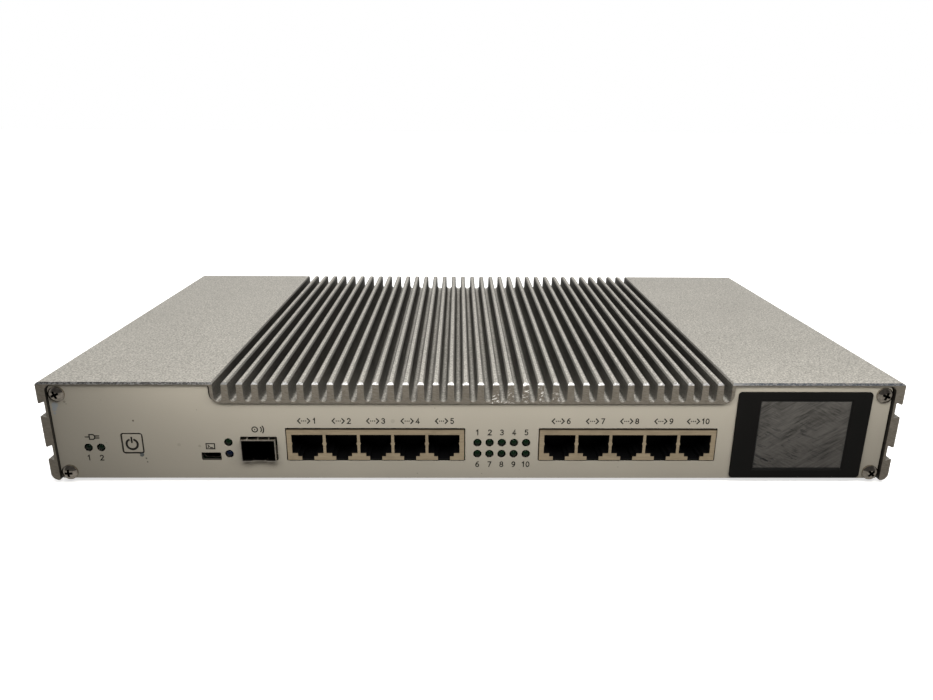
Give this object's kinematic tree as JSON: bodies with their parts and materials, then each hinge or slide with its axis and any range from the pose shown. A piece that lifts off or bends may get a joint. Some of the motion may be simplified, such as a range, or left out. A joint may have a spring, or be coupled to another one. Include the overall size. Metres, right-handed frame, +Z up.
{
  "type": "firewall appliance",
  "caption": "Fanless one-unit network firewall appliance: finned aluminium housing with a recessed front panel of network jacks, an optical cage, lamps, a push button and a display.",
  "frame": {"origin": "middle of the footprint, on the surface that the feet stand on", "axes": "+X to the right along the front, +Y from front to back, +Z up; the front faces -Y"},
  "size_m": [0.347, 0.201, 0.0444],
  "materials": {
    "housing_aluminium": "bead-blasted, clear anodised",
    "panel_paint": "warm grey satin powder coat",
    "plate_zinc": "plain sheet",
    "screw_nickel": "bright nickel",
    "screw_black": "black zinc",
    "foot_rubber": "matt",
    "bezel_plastic": "satin black",
    "display_glass": "matt protective film",
    "display_dark": "dark liquid-crystal panel",
    "circuit_board": "green solder mask",
    "ribbon_film": "flat cable",
    "port_shield": "champagne-toned plated steel",
    "port_plastic": "black",
    "contact_gold": "gold flash",
    "cage_nickel": "nickel-plated",
    "usb_steel": "dulled",
    "connector_plastic": "black",
    "lamp_green": "dark green tinted",
    "lamp_mixed": "dark tinted",
    "lamp_dark": "dark tinted",
    "holder_plastic": "black",
    "switch_plastic": "black",
    "chip_black": "moulded epoxy",
    "processor_lid": "nickel-plated lid",
    "block_aluminium": "as sawn",
    "pad_grey": "soft filled silicone",
    "ferrite": "sintered ferrite and tape",
    "capacitor_can": "plain can",
    "cell_steel": "nickel-plated",
    "standoff_brass": "plain",
    "wire_sleeve": "black sleeve",
    "inlet_plastic": "black glass-filled",
    "pin_nickel": "nickel-plated"
  },
  "bodies": {
    "case": {"housing": "housing_aluminium", "front_panel": "panel_paint", "rear_panel": "panel_paint", "bottom_plate": "plate_zinc", "front_screws": "screw_nickel", "rear_screws": "screw_nickel", "bottom_screws": "screw_nickel", "feet": "foot_rubber", "optical_cage": "cage_nickel", "optical_connector": "connector_plastic", "usb_shell": "usb_steel", "usb_tongue": "connector_plastic", "port_lamps": "lamp_green", "optical_lamps": "lamp_mixed", "supply_lamps": "lamp_dark", "lamp_holders": "holder_plastic", "push_switch": "switch_plastic", "button_board": "circuit_board", "display_bezel": "bezel_plastic", "display_window": "display_glass", "display_module": "display_dark", "display_board": "circuit_board", "display_ribbon": "ribbon_film", "main_board": "circuit_board", "board_standoffs": "standoff_brass", "board_screws": "screw_nickel", "processor": "processor_lid", "heat_spreader": "block_aluminium", "spreader_screws": "screw_nickel", "thermal_pad": "pad_grey", "memory_module": "circuit_board", "memory_socket": "connector_plastic", "storage_module": "circuit_board", "storage_socket": "connector_plastic", "network_chips": "chip_black", "inductors": "ferrite", "capacitors": "capacitor_can", "coin_cell": "cell_steel", "coin_cell_holder": "connector_plastic", "inlet_pins": "pin_nickel", "inlet_screws": "screw_black", "earth_screw": "screw_nickel", "port_shield_left": "port_shield", "port_body_left": "port_plastic", "port_contacts_left": "contact_gold", "supply_board_left": "circuit_board", "transformer_left": "ferrite", "bulk_capacitor_left": "capacitor_can", "dc_harness_left": "wire_sleeve", "mains_inlet_left": "inlet_plastic", "port_shield_right": "port_shield", "port_body_right": "port_plastic", "port_contacts_right": "contact_gold", "supply_board_right": "circuit_board", "transformer_right": "ferrite", "bulk_capacitor_right": "capacitor_can", "dc_harness_right": "wire_sleeve", "mains_inlet_right": "inlet_plastic"},
    "button": {"power_button": "panel_paint"},
    "plunger": {"switch_plunger": "switch_plastic"}
  },
  "joints": [
    {"name": "power_button_press", "type": "slide", "parent": "case", "child": "button", "axis": [0, 1, 0], "range_m": [0, 0.0008], "stiffness_N_per_m": 2200, "springref_m": -0.0004},
    {"name": "switch_plunger_press", "type": "slide", "parent": "case", "child": "plunger", "axis": [0, 1, 0], "range_m": [0, 0.0008]}
  ],
  "couplings": [
    {"joint": "switch_plunger_press", "follows": "power_button_press", "ratio": 1}
  ]
}
